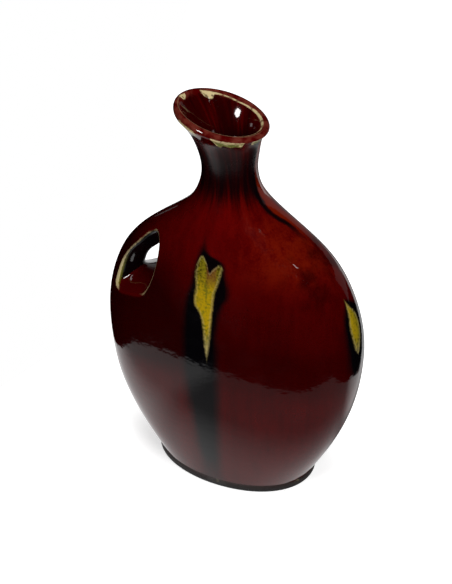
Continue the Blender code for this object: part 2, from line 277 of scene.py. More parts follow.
class GlazeColours(bpy.types.PropertyGroup):
    """The colours of the glazes and of the bare clay."""

    red: colour("Oxblood", (0.110, 0.0008, 0.0008, 1), "Main red of the glaze")
    warm: colour("Warm red", (0.17, 0.010, 0.001, 1), "Red where the glaze lies thin")
    deep: colour("Deep red", (0.066, 0.0002, 0.0004, 1), "Red where the glaze lies thick")
    dark: colour("Darkest red", (0.012, 0.0001, 0.0002, 1), "Red of the shaded middle and neck")
    black: colour("Black run", (0.0010, 0.0010, 0.0016, 1), "The dark part of the runs")
    yellow: colour("Yellow run", (0.42, 0.27, 0.004, 1), "The light part of the runs")
    olive: colour("Olive", (0.17, 0.15, 0.008, 1), "Green of the yellow run's tips")
    green: colour("Green", (0.13, 0.16, 0.022, 1), "The drips below the cream of the lip")
    cream: colour("Cream", (0.66, 0.54, 0.28, 1), "Where the glaze breaks over an edge")
    rim: colour("Rim brown", (0.135, 0.022, 0.014, 1), "Red-brown of the lip")
    clay: colour("Bare clay", (0.20, 0.17, 0.09, 1), "The foot, which isn't glazed")
    stain: colour("Clay stain", (0.022, 0.010, 0.008, 1), "Iron stain that hides most of the foot")


def smooth_curve(knots, values, at):
    """Values at some places on the cubic spline through the knots, with no bend at its ends."""
    knots, values, at = np.array(knots), np.array(values), np.asarray(at, float)
    step = np.diff(knots)
    slope = np.diff(values) / step
    system = np.eye(len(knots))
    bend = np.zeros(len(knots))
    for k in range(1, len(knots) - 1):
        system[k, k - 1:k + 2] = step[k - 1], 2 * (step[k - 1] + step[k]), step[k]
        bend[k] = 6 * (slope[k] - slope[k - 1])
    bend = np.linalg.solve(system, bend)
    k = np.clip(np.searchsorted(knots, at) - 1, 0, len(step) - 1)
    done, left = at - knots[k], knots[k + 1] - at
    curve = (bend[k] * left ** 3 + bend[k + 1] * done ** 3) / (6 * step[k])
    curve += (values[k] / step[k] - bend[k] * step[k] / 6) * left
    curve += (values[k + 1] / step[k] - bend[k + 1] * step[k] / 6) * done
    return curve


def between(start, end, share):
    """What lies at a share of the way."""
    return start + (end - start) * share


class Form:
    """The outside of the vase, as a surface over an angle and a height."""

    def __init__(self, sizes):
        self.sizes = sizes
        self.neck_height = sizes.shoulder_height + sizes.throat_length
        self.mouth_height = self.neck_height + sizes.flare_length
        self.columns = [list(column) for column in zip(*self.stations())]

    def lean_at(self, height):
        """How far the middle of the form stands off the belly's middle, below the mouth."""
        s = self.sizes
        belly_height = between(s.foot_height, s.shoulder_height, WIDEST_SHARE)
        heights = (s.foot_height, belly_height, self.neck_height)
        return float(np.interp(height, heights, (s.foot_offset, 0, s.neck_offset)))

    def stations(self):
        """Height, offset, half-width, half-depth and fullness at each station."""
        s = self.sizes
        rows = [(s.foot_height, s.foot_offset, s.foot_width / 2, s.foot_depth / 2,
                 FOOT_FULLNESS_SHARE)]
        for height_share, width_share, depth_share, fullness in BELLY_SHARES:
            height = between(s.foot_height, s.shoulder_height, height_share)
            rows.append((height, self.lean_at(height), s.belly_width / 2 * width_share,
                         s.belly_depth / 2 * depth_share, fullness))
        rows.append((s.shoulder_height, self.lean_at(s.shoulder_height), s.shoulder_width / 2,
                     s.shoulder_depth / 2, SHOULDER_FULLNESS_SHARE))
        height = between(s.shoulder_height, self.neck_height, THROAT_HEIGHT_SHARE)
        rows.append((height, self.lean_at(height),
                     between(s.shoulder_width / 2, s.neck_width / 2, THROAT_SIZE_SHARE),
                     between(s.shoulder_depth / 2, s.neck_width / 2, THROAT_SIZE_SHARE), 0))
        rows.append((self.neck_height, s.neck_offset, s.neck_width / 2, s.neck_width / 2, 0))
        for height_share, size_share in MOUTH_SHARES:
            rows.append((between(self.neck_height, self.mouth_height, height_share),
                         between(s.neck_offset, s.mouth_offset, height_share ** 2),
                         between(s.neck_width / 2, s.mouth_width / 2, size_share),
                         between(s.neck_width / 2, s.mouth_depth / 2, size_share), 0))
        return rows

    def at(self, height):
        """Offset, half-width, half-depth and fullness of the outside at some heights."""
        return [smooth_curve(self.columns[0], column, height) for column in self.columns[1:]]

    def tilt_at(self, height):
        """How steeply the rings fall along X. They are level up to the neck."""
        climb = (height - self.neck_height) / (self.mouth_height - self.neck_height)
        return np.clip(climb, 0, None) ** 2 * self.sizes.mouth_rise / (self.sizes.mouth_width / 2)

    def point(self, angle, height):
        """Points of the outside."""
        offset, half_width, half_depth, fullness = self.at(height)
        c, s = np.cos(angle), np.sin(angle)
        across = half_width * c * (1 + fullness * s * s)
        deep = half_depth * s * (1 + fullness * c * c)
        return np.stack([offset + across, deep, height - self.tilt_at(height) * across], -1)

    def normal(self, angle, height, step=1e-5):
        """The directions in which the outside faces."""
        round_it = self.point(angle + step, height) - self.point(angle - step, height)
        up_it = self.point(angle, height + step) - self.point(angle, height - step)
        normal = np.cross(round_it, up_it)
        return normal / np.linalg.norm(normal, axis=-1, keepdims=True)

    def cosine_at(self, across, height):
        """The cosine of the angle at which the outside reaches so far across."""
        _, half_width, _, fullness = self.at(height)
        share = np.clip(np.abs(across) / half_width, 0, 1)
        c = share
        for _ in range(ANGLE_ROUNDS):
            miss = c * (1 + fullness * (1 - c * c)) - share
            c = c - miss / (1 + fullness - 3 * fullness * c * c)
        return c

    def half_depth_at(self, x, z):
        """How far the outside lies in front of the middle plane at some points of that plane."""
        offset, _, half_depth, fullness = self.at(z)
        c = self.cosine_at(x - offset, z)
        return half_depth * np.sqrt(np.clip(1 - c * c, 0, 1)) * (1 + fullness * c * c)

    def coordinates(self, points):
        """Angle and height of points on the outside, and how far each point is off it."""
        x, y, z = points.T
        height = z
        for _ in range(HEIGHT_ROUNDS):
            height = z + self.tilt_at(height) * (x - self.at(height)[0])
        offset, _, half_depth, fullness = self.at(height)
        c = self.cosine_at(x - offset, height)
        s = y / (half_depth * (1 + fullness * c * c))
        angle = np.arctan2(s, c * np.sign(x - offset))
        return angle, height, np.linalg.norm(self.point(angle, height) - points, axis=1)


class Value:
    """A node's output, on which plain arithmetic adds Math nodes."""

    def __init__(self, maker, socket):
        self.maker, self.socket = maker, socket

    def __add__(self, other):
        return self.maker.maths("ADD", self, other)

    def __sub__(self, other):
        return self.maker.maths("SUBTRACT", self, other)

    def __rsub__(self, other):
        return self.maker.maths("SUBTRACT", other, self)

    def __mul__(self, other):
        return self.maker.maths("MULTIPLY", self, other)

    def __truediv__(self, other):
        return self.maker.maths("DIVIDE", self, other)

    def __rtruediv__(self, other):
        return self.maker.maths("DIVIDE", other, self)

    def __pow__(self, other):
        return self.maker.maths("POWER", self, other)

    def __rpow__(self, other):
        return self.maker.maths("POWER", other, self)

    __radd__ = __add__
    __rmul__ = __mul__


class Maker:
    """Adds nodes to one node tree."""

    def __init__(self, tree):
        self.tree = tree

    def node(self, kind, settings=None, inputs=None, output=0):
        """A new node with its settings, then its inputs' values or links."""
        node = self.tree.nodes.new(kind)
        for name, setting in (settings or {}).items():
            setattr(node, name, setting)
        for name, value in (inputs or {}).items():
            if isinstance(value, Value):
                self.tree.links.new(value.socket, node.inputs[name])
            else:
                node.inputs[name].default_value = value
        if output is None:
            return node
        return Value(self, node.outputs[output])

    def join(self, value, socket):
        """Links a value to another node's socket."""
        self.tree.links.new(value.socket, socket)

    def parts(self, place):
        """The X, Y and Z of a place."""
        split = self.node("ShaderNodeSeparateXYZ", None, {0: place}, None)
        return [Value(self, socket) for socket in split.outputs]

    def maths(self, operation, *values):
        """A Math node on one or more values."""
        return self.node("ShaderNodeMath", {"operation": operation}, dict(enumerate(values)))

    def ramp(self, value, low, high, at_low=0.0, at_high=1.0):
        """A smooth step between two values, which may run downwards."""
        return self.node("ShaderNodeMapRange", {"interpolation_type": "SMOOTHSTEP"},
                         {"Value": value, "From Min": low, "From Max": high,
                          "To Min": at_low, "To Max": at_high})

    def band(self, value, low, high, soft):
        """1 between two values, falling off over a soft width outside them."""
        return self.ramp(value, low - soft, low) * self.ramp(value, high, high + soft, 1.0, 0.0)

    def noise(self, place, size, detail, stretch=(1, 1, 1), seed=(0, 0, 0)):
        """Noise of about 0 to 1 whose blotches are about so large, in metres."""
        scale = [1 / (size * along) for along in stretch]
        moved = self.node("ShaderNodeMapping", {"vector_type": "POINT"},
                          {"Vector": place, "Location": seed, "Scale": scale})
        return self.node("ShaderNodeTexNoise", None,
                         {"Vector": moved, "Scale": 1.0, "Detail": detail})

    def wander(self, place, size, detail, amount, stretch=(1, 1, 1)):
        """Noise round zero, by which an edge wanders to either side."""
        return (self.noise(place, size, detail, stretch) - 0.5) * amount

    def mix(self, share, first, second):
        """A colour part of the way from the first to the second."""
        return self.node("ShaderNodeMix", {"data_type": "RGBA"},
                         {0: share, 6: first, 7: second}, output=2)

    def grey(self, value):
        """A grey as light as a value."""
        return self.node("ShaderNodeCombineColor", None, {0: value, 1: value, 2: value})

    def drawn_curve(self, value, points):
        """A drawn curve through points of which both numbers lie between 0 and 1."""
        node = self.node("ShaderNodeFloatCurve", None, {"Value": value}, None)
        curve = node.mapping.curves[0]
        for k, place in enumerate(sorted(points)):
            if k < 2:
                curve.points[k].location = place
            else:
                curve.points.new(*place)
        node.mapping.update()
        return Value(self, node.outputs[0])

    def edge_line(self, along, points):
        """A drawn edge: how far across it lies, from points of (along, across)."""
        places = [(at / LINE_REACH, 0.5 + across / LINE_REACH) for at, across in points]
        return (self.drawn_curve(along / LINE_REACH, places) - 0.5) * LINE_REACH

    def reach_round(self, degrees, points):
        """A drawn reach down from the lip, from points of (degrees round, reach)."""
        places = [(at / 360 + 0.5, reach / LIP_REACH) for at, reach in points]
        return self.drawn_curve(degrees / 360 + 0.5, places) * LIP_REACH


def add_object(name, data):
    """A new object in the scene, of a mesh, a light or a camera."""
    added = bpy.data.objects.new(name, data)
    bpy.context.scene.collection.objects.link(added)
    return added


def plain_mesh(source):
    """What an object's modifiers make of it, as a mesh of its own."""
    source_now = source.evaluated_get(bpy.context.evaluated_depsgraph_get())
    return bpy.data.meshes.new_from_object(source_now)


def turned_wall_tree():
    """Sweeps the points of a profile round the vase, as ovals that may be fuller or tilted."""
    tree = bpy.data.node_groups.new("turned_wall", "GeometryNodeTree")
    add = tree.interface.new_socket
    add("Geometry", in_out="INPUT", socket_type="NodeSocketGeometry")
    for name in ("Start", "Sweep", "Neck Height", "Mouth Height", "Slope at Mouth"):
        add(name, in_out="INPUT", socket_type="NodeSocketFloat")
    add("Steps Around", in_out="INPUT", socket_type="NodeSocketInt")
    add("Glaze", in_out="INPUT", socket_type="NodeSocketMaterial")
    add("Geometry", in_out="OUTPUT", socket_type="NodeSocketGeometry")
    make = Maker(tree)
    group = make.node("NodeGroupInput", output=None)

    def given(name):
        """One of the tree's own inputs."""
        return Value(make, group.outputs[name])

    def at_row(value, kind="FLOAT"):
        """What a profile point holds, read for the grid row that it makes."""
        return make.node("GeometryNodeSampleIndex", {"data_type": kind},
                         {"Geometry": given("Geometry"), "Value": value, "Index": row})

    def stored(name):
        """A number that the profile's points carry."""
        return make.node("GeometryNodeInputNamedAttribute", {"data_type": "FLOAT"}, {"Name": name})

    rows = make.node("GeometryNodeAttributeDomainSize", {"component": "MESH"},
                     {"Geometry": given("Geometry")})
    columns = given("Steps Around") + 1
    grid = make.node("GeometryNodeMeshGrid", None, {"Vertices X": rows, "Vertices Y": columns})
    index = make.node("GeometryNodeInputIndex")
    row = make.maths("FLOOR", (index + 0.5) / columns)
    angle = given("Start") + given("Sweep") * (index - row * columns) / given("Steps Around")
    c, s = make.maths("COSINE", angle), make.maths("SINE", angle)
    size = at_row(make.node("GeometryNodeInputPosition"), "FLOAT_VECTOR")
    half_width, half_depth, height = make.parts(size)
    fullness = at_row(stored("fullness"))
    across = half_width * c * (fullness * s * s + 1)
    deep = half_depth * s * (fullness * c * c + 1)
    climb = (height - given("Neck Height")) / (given("Mouth Height") - given("Neck Height"))
    tilt = make.maths("MAXIMUM", climb, 0) ** 2 * given("Slope at Mouth")
    place = make.node("ShaderNodeCombineXYZ", None,
                      {"X": at_row(stored("offset")) + across, "Y": deep, "Z": height - tilt * across})
    wall = make.node("GeometryNodeSetPosition", None, {"Geometry": grid, "Position": place})
    wall = make.node("GeometryNodeMergeByDistance", None,
                     {"Geometry": wall, "Distance": SAME_POINT})
    wall = make.node("GeometryNodeSetShadeSmooth", None, {"Geometry": wall})
    wall = make.node("GeometryNodeRealizeInstances", None, {"Geometry": wall})
    wall = make.node("GeometryNodeSetMaterial", None, {"Geometry": wall, "Material": given("Glaze")})
    make.node("NodeGroupOutput", None, {"Geometry": wall}, None)
    return tree


def turned_wall(name, form, profile, material, start=0.0, sweep=2 * math.pi, around=AROUND):
    """A wall whose profile rows hold offset, half-width, half-depth, fullness and height."""
    offset, half_width, half_depth, fullness, height = (np.array(c) for c in zip(*profile))
    line = bpy.data.meshes.new(name + "_profile")
    line.from_pydata(np.stack([half_width, half_depth, height], 1).tolist(), [], [])
    for attribute, values in (("offset", offset), ("fullness", fullness)):
        line.attributes.new(attribute, "FLOAT", "POINT").data.foreach_set("value", values)
    profile_object = add_object(name + "_profile", line)
    tree = bpy.data.node_groups.get("turned_wall") or turned_wall_tree()
    turned = profile_object.modifiers.new("Turned wall", "NODES")
    turned.node_group = tree
    given = {
        "Start": start, "Sweep": sweep, "Neck Height": form.neck_height,
        "Mouth Height": form.mouth_height, "Slope at Mouth": float(form.tilt_at(form.mouth_height)),
        "Steps Around": around, "Glaze": material,
    }
    for socket in tree.interface.items_tree:
        if socket.in_out == "INPUT" and socket.name in given:
            turned[socket.identifier] = given[socket.name]
    piece = add_object(name, plain_mesh(profile_object))
    piece.data.name = name
    bpy.data.objects.remove(profile_object)
    return piece


def outside_rows(form, high, low, count):
    """Profile rows down the outside, from one height to a lower one."""
    heights = np.linspace(high, low, count + 1)
    offset, half_width, half_depth, fullness = form.at(heights)
    return list(zip(offset, half_width, half_depth, fullness, heights))


def wall_slope(form, height, step=1e-4):
    """Cosine and sine of the lean of the wall's outside, taken over width and depth."""
    above, below = form.at(height + step), form.at(height - step)
    slope = (above[1] - below[1] + above[2] - below[2]) / (4 * step)
    return 1 / np.hypot(1, slope), slope / np.hypot(1, slope)


def inside_rows(form, low, high, count, wall):
    """Profile rows up the inside, a wall's thickness in from the outside."""
    rows = []
    for height in np.linspace(low, high, count + 1):
        offset, half_width, half_depth, fullness = (float(v) for v in form.at(height))
        c, s = wall_slope(form, height)
        rows.append((offset, half_width - wall * c, half_depth - wall * c, fullness,
                     height + wall * s))
    return rows


def lip_rows(form, height, wall):
    """Profile rows over the rounded lip, from the inside to the outside."""
    offset, half_width, half_depth, fullness = (float(v) for v in form.at(height))
    c, s = wall_slope(form, height)
    rows = []
    for k in range(1, STEPS_ROUND_LIP):
        turn = math.pi * (1 - k / STEPS_ROUND_LIP)
        out = wall / 2 * (math.cos(turn) * c + math.sin(turn) * s - c)
        up = wall / 2 * (-math.cos(turn) * s + math.sin(turn) * c + s)
        rows.append((offset, half_width + out, half_depth + out, fullness, height + up))
    return rows


def wall_profile(form, low, high, outside, inside, wall, over_top=()):
    """Profile rows down the outside, up the inside and over the top edge, back to the first."""
    rows = outside_rows(form, high, low, outside) + inside_rows(form, low, high, inside, wall)
    rows += over_top
    return rows + rows[:1]


def handle_outline(handle):
    """Points round the handle opening in X and Z, and the directions square to its outline."""
    corners = np.array(HANDLE_SHARES) * (handle.width / 2, handle.height / 2)
    points = []
    for k in range(len(corners)):
        before, start, end, after = (corners[(k + i) % len(corners)] for i in (-1, 0, 1, 2))
        for t in np.arange(POINTS_PER_SPAN) / POINTS_PER_SPAN:
            bend = (2 * start, end - before, 2 * before - 5 * start + 4 * end - after,
                    3 * start - before - 3 * end + after)
            points.append(sum(part * t ** power for power, part in enumerate(bend)) / 2)
    points = np.array(points)
    along = np.roll(points, -1, 0) - np.roll(points, 1, 0)
    along /= np.linalg.norm(along, axis=1)[:, None]
    return points, np.stack([along[:, 1], -along[:, 0]], 1)


class Tunnel:
    """The handle opening from face to face, whose waist is narrower than its two ends."""

    def __init__(self, form, handle):
        self.form, self.handle = form, handle
        self.points, self.square = handle_outline(handle)
        sill = np.clip(-self.square[:, 1], 0, 1) ** 2
        self.rounding = between(handle.edge_radius, handle.sill_radius, sill)

    def row(self, share, outward=0.0):
        """Points at a share of the way, -1 at the front face and 1 at the back one."""
        h = self.handle
        share = np.broadcast_to(share, len(self.points))[:, None]
        outward = np.broadcast_to(outward, len(self.points))[:, None]
        waist = 1 - (share + HANDLE_WAIST_LEAD_SHARE * (1 - share ** 2)) ** 2
        front = np.array([h.centre_x, h.centre_z])
        slant = np.array([h.drift, h.drop])
        centre = front + slant * (1 + share) / 2
        shift = np.array([h.waist_shift_x, h.waist_shift_z]) * waist
        narrowed = self.points * between(1, np.array(HANDLE_WAIST_SHARES), waist)
        flat = centre + shift + narrowed + self.square * outward
        edge = front + slant * (share > 0) + self.points + self.square * outward
        y = share[:, 0] * self.form.half_depth_at(edge[:, 0], edge[:, 1])
        return np.stack([flat[:, 0], y, flat[:, 1]], 1)

    def edge_rows(self, side):
        """Rows over the rounded edge at one face, from the tunnel's wall to the face."""
        corner, face = self.row(side), self.row(side, self.rounding)
        inside = self.row(side * self.share_inside())
        rows = []
        for t in np.linspace(0, 1, ROWS_ROUND_EDGE + 1):
            rows.append((1 - t) ** 2 * inside + 2 * t * (1 - t) * corner + t ** 2 * face)
        return rows

    def share_inside(self):
        """Where the rounded edges end on the tunnel's wall."""
        depth = np.abs(self.row(-1)[:, 1])
        return 1 - self.rounding / depth


def lofted(name, rows, material, closed):
    """A skin through rows of equally many points. A closed one joins its last row to its first,
    and another gets a face over each end."""
    count = len(rows[0])
    verts = np.concatenate(rows).tolist()
    faces = []
    for r in range(len(rows) if closed else len(rows) - 1):
        low, high = r * count, (r + 1) % len(rows) * count
        for k in range(count):
            after = (k + 1) % count
            faces.append((low + k, low + after, high + after, high + k))
    if not closed:
        faces.append(tuple(range(count))[::-1])
        faces.append(tuple(range((len(rows) - 1) * count, len(rows) * count)))
    mesh = bpy.data.meshes.new(name)
    mesh.from_pydata(verts, [], faces)
    mesh.materials.append(material)
    mesh.shade_smooth()
    return add_object(name, mesh)


def read_numbers(items, name):
    """A whole number of each of a mesh's items."""
    numbers = np.empty(len(items), int)
    items.foreach_get(name, numbers)
    return numbers


def read_places(items, name):
    """A place or a direction of each of a mesh's items."""
    places = np.empty(len(items) * 3)
    items.foreach_get(name, places)
    return places.reshape(-1, 3)


def with_outside_normals(piece, form):
    """Shades what lies on the vase's outside as one surface, over the joints of the pieces."""
    mesh = piece.data
    angle, height, miss = form.coordinates(read_places(mesh.vertices, "co"))
    wanted = form.normal(angle, height)
    corners = read_numbers(mesh.loops, "vertex_index")
    sizes = read_numbers(mesh.polygons, "loop_total")
    facing = np.repeat(read_places(mesh.polygons, "normal"), sizes, axis=0)
    on_outside = miss[corners] < ON_OUTSIDE
    on_outside &= (wanted[corners] * facing).sum(1) > math.cos(SHARPEST_BEND)
    mesh.normals_split_custom_set(np.where(on_outside[:, None], wanted[corners], 0).tolist())


def mark_edges(piece, form, tunnel):
    """Stores how far each point lies from the places where the glaze breaks or pools.

    inward is measured in from the outside, down_lip and across_lip along and across the flaring
    wall from the top of its outside, and hole_edge from the nearer edge of the handle opening.
    upward is how far a point faces up, and round_x and round_y are its angle's cosine and sine.
    """
    mesh = piece.data
    points = read_places(mesh.vertices, "co")
    angle, height, inward = form.coordinates(points)
    upward = read_places(mesh.vertex_normals, "vector")[:, 2]
    edges = np.concatenate([tunnel.row(-1), tunnel.row(1)])
    hole_edge = np.empty(len(points))
    for first in range(0, len(points), POINTS_AT_ONCE):
        some = slice(first, first + POINTS_AT_ONCE)
        hole_edge[some] = np.sqrt(((points[some, None] - edges) ** 2).sum(2)).min(1)
    upright, lean = wall_slope(form, form.mouth_height)
    down_lip = (form.mouth_height - height) / upright + inward * lean
    marks = (down_lip, inward * upright, inward, hole_edge, upward, np.cos(angle), np.sin(angle))
    for name, values in zip(PLACE_MARKS, marks):
        attribute = mesh.attributes.new(name, "FLOAT", "POINT")
        attribute.data.foreach_set("value", values.astype(np.float32))


def finished(context, piece, slot, *nodes):
    """Shades and marks a piece, hides the parts that it stands for and puts it on its body; its slot is
    not used.
    """
    form = Form(context.scene.vase_sizes)
    with_outside_normals(piece, form)
    mark_edges(piece, form, Tunnel(form, context.scene.vase_handle))
    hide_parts(*nodes)
    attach(piece, "root")


class VASE_OT_foot(bpy.types.Operator):
    """Makes the oval ring of bare clay that the vase stands on"""

    bl_idname = "vase.foot"
    bl_label = "Foot Ring"

    def execute(self, context):
        s = context.scene.vase_sizes
        form = Form(s)
        top = (s.foot_height + SLAB_BOX[0].z) / 2
        rounding = s.foot_rounding
        rows = [(0, top)]
        for k in range(STEPS_ROUND_FOOT_EDGE + 1):
            turn = math.pi / 2 * k / STEPS_ROUND_FOOT_EDGE
            rows.append((rounding * (1 - math.cos(turn)), rounding * (1 - math.sin(turn))))
        rows += [(s.foot_wall - inward, z) for inward, z in reversed(rows)]
        rows.append(rows[0])
        profile = [(s.foot_offset, s.foot_width / 2 - inward, s.foot_depth / 2 - inward,
                    FOOT_FULLNESS_SHARE, z) for inward, z in rows]
        foot = turned_wall("foot", form, profile, bare_clay(context))
        finished(context, foot, "bare_clay", "foot_ring")
        return {"FINISHED"}


class VASE_OT_floor(bpy.types.Operator):
    """Makes the floor slab, whose edge carries on the outside of the body"""

    bl_idname = "vase.floor"
    bl_label = "Floor"

    def execute(self, context):
        form = Form(context.scene.vase_sizes)
        low = (FOOT_BOX[1].z + SLAB_BOX[0].z) / 2
        high = (SLAB_BOX[1].z + SHELL_BOX[0].z) / 2
        angles = np.arange(AROUND) * 2 * math.pi / AROUND
        rows = [form.point(angles, np.full(AROUND, height))
                for height in np.linspace(low, high, RINGS_IN_FLOOR + 1)]
        floor = lofted("floor", rows, red_glaze(context), closed=False)
        floor.data.set_sharp_from_angle(angle=SHARPEST_BEND)
        finished(context, floor, "red_glaze", "base_slab")
        return {"FINISHED"}


class VASE_OT_body(bpy.types.Operator):
    """Makes the front and back halves of the body, cut out round the handle opening"""

    bl_idname = "vase.body"
    bl_label = "Body Halves"

    def execute(self, context):
        s = context.scene.vase_sizes
        form = Form(s)
        low = (SLAB_BOX[1].z + SHELL_BOX[0].z) / 2
        high = (SHELL_BOX[1].z + COLLAR_BOX[0].z) / 2
        profile = wall_profile(form, low, high, RINGS_IN_BODY, RINGS_IN_BODY // 4, s.wall)
        glaze = red_glaze(context)
        cutter = self.tunnel_cutter(form, context.scene.vase_handle, glaze)
        for name, node, start in (("body_front", "front_shell", math.pi),
                                  ("body_back", "back_shell", 0.0)):
            half = turned_wall(name + "_blank", form, profile, glaze, start, math.pi, AROUND // 2)
            self.close_ends(half)
            cut = half.modifiers.new("Handle opening", "BOOLEAN")
            cut.object = cutter
            cut.solver = "EXACT"
            piece = add_object(name, plain_mesh(half))
            piece.data.name = name
            self.make_triangles(piece)
            bpy.data.objects.remove(half)
            finished(context, piece, "red_glaze", node)
        bpy.data.objects.remove(cutter)
        return {"FINISHED"}

    def tunnel_cutter(self, form, handle, glaze):
        """What the halves leave free for the wall round the handle opening."""
        tunnel = Tunnel(form, handle)
        outward = tunnel.rounding - CUT_REACH
        shares = np.linspace(1, -1, ROWS_IN_TUNNEL + 1)
        rows = [tunnel.row(share, outward) for share in shares]
        past = np.array([0, form.sizes.belly_depth / 2, 0])
        rows = [rows[0] + past] + rows + [rows[-1] - past]
        return lofted("tunnel_cutter", rows, glaze, closed=False)

    def close_ends(self, half):
        """Fills the two ends of a half's wall, where it meets the other half."""
        bm = bmesh.new()
        bm.from_mesh(half.data)
        open_edges = [edge for edge in bm.edges if edge.is_boundary]
        bmesh.ops.holes_fill(bm, edges=open_edges, sides=0)
        bmesh.ops.recalc_face_normals(bm, faces=bm.faces)
        bm.to_mesh(half.data)
        bm.free()

    def make_triangles(self, piece):
        """Makes triangles of a cut half here, so that no sliver is folded over along the cut."""
        bm = bmesh.new()
        bm.from_mesh(piece.data)
        bmesh.ops.triangulate(bm, faces=bm.faces)
        if any(not edge.is_manifold for edge in bm.edges):
            raise RuntimeError(piece.name + " isn't closed")
        bm.to_mesh(piece.data)
        bm.free()


class VASE_OT_handle(bpy.types.Operator):
    """Makes the wall round the handle opening, with a rounded edge at both faces"""

    bl_idname = "vase.handle"
    bl_label = "Handle Opening"

    def execute(self, context):
        form = Form(context.scene.vase_sizes)
        tunnel = Tunnel(form, context.scene.vase_handle)
        inside = tunnel.share_inside()
        rows = tunnel.edge_rows(-1)[::-1]
        rows += [tunnel.row(inside * share)
                 for share in np.linspace(-1, 1, ROWS_IN_TUNNEL + 1)[1:-1]]
        rows += tunnel.edge_rows(1)
        rows += [tunnel.row(share, tunnel.rounding)
                 for share in np.linspace(1, -1, ROWS_IN_TUNNEL + 1)[1:-1]]
        wall = lofted("handle_wall", rows, red_glaze(context), closed=True)
        finished(context, wall, "rim_glaze", "handle_lining")
        return {"FINISHED"}


class VASE_OT_neck(bpy.types.Operator):
    """Makes the waisted neck"""

    bl_idname = "vase.neck"
    bl_label = "Neck"

    def execute(self, context):
        s = context.scene.vase_sizes
        form = Form(s)
        low = (SHELL_BOX[1].z + COLLAR_BOX[0].z) / 2
        high = joint_height()
        profile = wall_profile(form, low, high, RINGS_IN_NECK, RINGS_IN_NECK, s.wall)
        neck = turned_wall("neck", form, profile, red_glaze(context))
        finished(context, neck, "red_glaze", "neck_collar")
        return {"FINISHED"}


class VASE_OT_mouth(bpy.types.Operator):
    """Makes the slanted flaring mouth with its rounded lip"""

    bl_idname = "vase.mouth"
    bl_label = "Mouth"

    def execute(self, context):
        s = context.scene.vase_sizes
        form = Form(s)
        low = joint_height()
        lip_rise = s.wall / 2 * wall_slope(form, form.mouth_height)[0]
        high = form.mouth_height - LIP_CLEARANCE - lip_rise
        profile = wall_profile(form, low, high, RINGS_IN_MOUTH, RINGS_IN_MOUTH, s.wall,
                               lip_rows(form, high, s.wall))
        mouth = turned_wall("mouth", form, profile, red_glaze(context))
        finished(context, mouth, "rim_glaze", "mouth_flare")
        return {"FINISHED"}


def joint_height():
    """Where the mouth is joined on to the neck."""
    return (COLLAR_BOX[1].z + MOUTH_BOX[0].z) / 2


def piece_material(name):
    """A material for pieces: its maker, the place on the vase and a Principled shader."""
    material = bpy.data.materials.new(name)
    material.use_nodes = True
    make = Maker(material.node_tree)
    shader = material.node_tree.nodes["Principled BSDF"]
    shader.inputs["Metallic"].default_value = 0
    return material, make, make.node("ShaderNodeTexCoord", output="Object"), shader


def red_glaze(context):
    """The run glaze of the whole vase, with its breaks at the lip and the handle opening."""
    if "run_oxblood" in bpy.data.materials:
        return bpy.data.materials["run_oxblood"]
    c = context.scene.vase_colours
    material, make, place, shader = piece_material("run_oxblood")
    x, y, z = make.parts(place)
    stored = {name: make.node("ShaderNodeAttribute", {"attribute_name": name}, None, "Fac")
              for name in PLACE_MARKS}

    surface = body_colour(make, c, place, x, y, z, stored)
    surface = with_runs(make, c, place, x, y, z, surface)
    surface = with_hole_break(make, c, place, x, z, stored, surface)
    surface = with_lip_break(make, c, place, stored, surface)
    make.join(surface, shader.inputs["Base Color"])
    make.join(glaze_roughness(make, place, z, stored), shader.inputs["Roughness"])
    make.join(glaze_relief(make, place, z), shader.inputs["Normal"])
    return material


def glaze_roughness(make, place, z, stored):
    """A high gloss that varies a little, and is duller on the outside below the lip."""
    cloud = make.noise(place, 0.012, 3)
    below_lip = make.ramp(z, 0.210, 0.238) * make.ramp(z, 0.252, 0.246)
    outside = make.ramp(stored["inward"], 0.0012, 0.0002)
    return make.ramp(cloud, 0.3, 0.8, 0.045, 0.11) + below_lip * outside * 0.22


def body_colour(make, c, place, x, y, z, stored):
    """Oxblood red, mottled and drawn out downwards, warm at the right where it runs thin and where a
    lit glow is painted, with painted shade at the left and low down."""
    cloud = make.noise(place, 0.030, 4)
    drawn = make.noise(place, 0.005, 3, stretch=(1, 1, 9))
    fine = make.noise(place, 0.0012, 2)
    tone = cloud * 0.40 + drawn * 0.35 + fine * 0.25
    surface = make.mix(make.ramp(tone, 0.34, 0.64), c.deep, c.red)

    on_front = make.ramp(y, 0.012, 0.002)
    # Warm red on the right shoulder: where the glaze runs thin, and a painted glow where it faces the
    # light
    thin_and_lit_right = make.ramp(x, 0.000, 0.040) * make.ramp(z, 0.155, 0.182) * on_front
    surface = make.mix(thin_and_lit_right * make.ramp(tone, 0.40, 0.62) * 0.6, surface, c.warm)
    # Painted shade: darker red by height, most in the middle and low down, and more at the lower left
    shade_by_height = make.drawn_curve(z / LINE_REACH, BODY_PAINTED_SHADE)
    shade_at_left = make.ramp(x, 0.010, -0.070) * make.ramp(z, 0.085, 0.115) * 0.66
    shade = make.maths("MINIMUM", shade_by_height + shade_at_left * make.ramp(z, 0.215, 0.160, 0.6, 1.0), 0.95)
    surface = make.mix(shade, surface, c.dark)
    surface = neck_smears_and_shade(make, c, z, stored, surface)

    patch = make.noise(place, 0.014, 3, seed=(9, 4, 0))
    above_end = make.band(x, 0.046, 0.064, 0.008) * make.band(z, 0.160, 0.178, 0.010)
    surface = make.mix(above_end * make.ramp(patch, 0.40, 0.66) * 0.6, surface, c.dark)
    return shoulder_line(make, c, place, x, y, z, surface)


